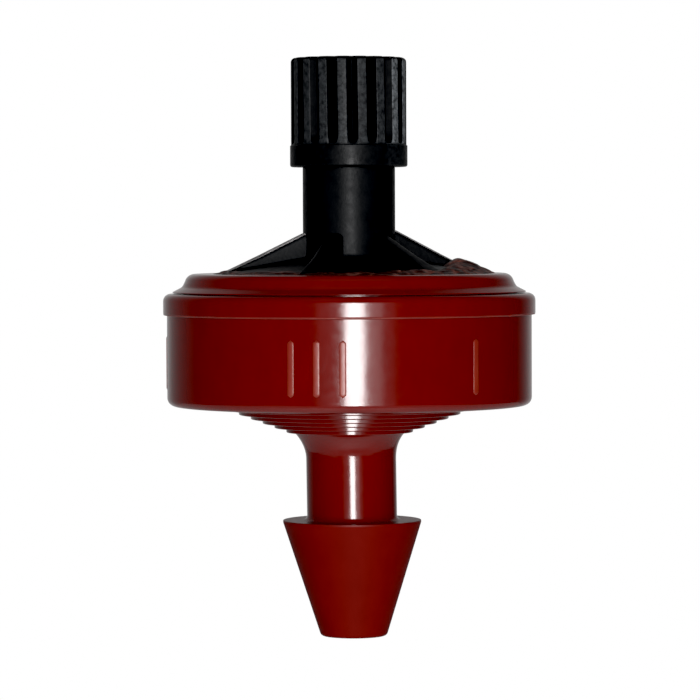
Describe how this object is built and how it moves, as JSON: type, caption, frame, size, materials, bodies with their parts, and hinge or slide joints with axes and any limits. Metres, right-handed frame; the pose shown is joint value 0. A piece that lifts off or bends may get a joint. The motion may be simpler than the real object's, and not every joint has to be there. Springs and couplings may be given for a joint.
{
  "type": "drip emitter",
  "caption": "On-line pressure-compensating drip emitter: barbed inlet, round body, floating diaphragm, gusseted outlet stem and fluted push-on cap.",
  "frame": {"origin": "on the axis, in the plane of the body's lowest face, which stops against the pipe's wall", "axes": "+Z along the axis from the barbed inlet to the outlet cap; X and Y across the body, -Y facing the viewer"},
  "size_m": [0.017, 0.017, 0.0263],
  "materials": {
    "red_plastic": "gloss, brick red, with fine moulding lines",
    "black_plastic": "satin black, fine mould texture",
    "cap_plastic": "satin black, fine mould texture",
    "natural_plastic": "natural, undyed",
    "strainer_plastic": "satin black",
    "silicone": "matte dark grey silicone"
  },
  "bodies": {
    "emitter_body": {"inlet_body": "red_plastic", "inlet_strainer": "strainer_plastic", "labyrinth_disc": "natural_plastic", "outlet_cover": "black_plastic", "retaining_ring": "red_plastic"},
    "diaphragm": {"diaphragm": "silicone"},
    "outlet_cap": {"outlet_cap": "cap_plastic"}
  },
  "joints": [
    {"name": "diaphragm_lift", "type": "slide", "parent": "emitter_body", "child": "diaphragm", "axis": [0, 0, 1], "range_m": [0, 0.0003]},
    {"name": "cap_pull", "type": "slide", "parent": "emitter_body", "child": "outlet_cap", "axis": [0, 0, 1], "range_m": [0, 0.006]}
  ]
}
